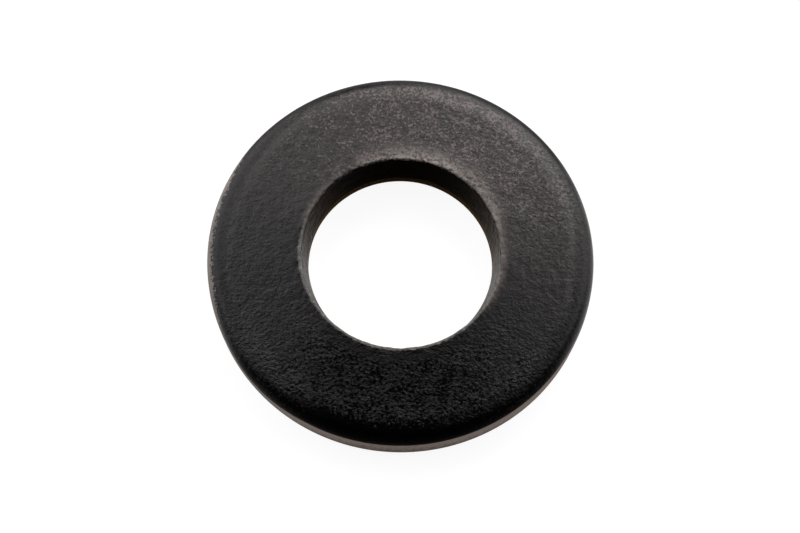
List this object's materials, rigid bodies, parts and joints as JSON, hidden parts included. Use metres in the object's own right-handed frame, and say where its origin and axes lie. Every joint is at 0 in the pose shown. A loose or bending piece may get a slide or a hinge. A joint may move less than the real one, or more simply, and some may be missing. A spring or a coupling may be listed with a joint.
{
  "type": "conical spring washer",
  "caption": "Round conical spring washer of black phosphated steel, with a rolled upper shoulder and a punched hole that flares to its upper lip; keeps tension under a bolt head.",
  "frame": {"origin": "centre of the circle that the lower outer edge rests on", "axes": "+Z along the bolt axis, towards the raised lip of the hole; the washer is round about it"},
  "size_m": [0.0178, 0.0178, 0.0026],
  "materials": {
    "black_phosphate_steel": "black phosphated and oiled spring steel, pitted satin, worn to brownish grey on the rim and the lip"
  },
  "bodies": {
    "root": {"spring_washer": "black_phosphate_steel"}
  },
  "joints": []
}
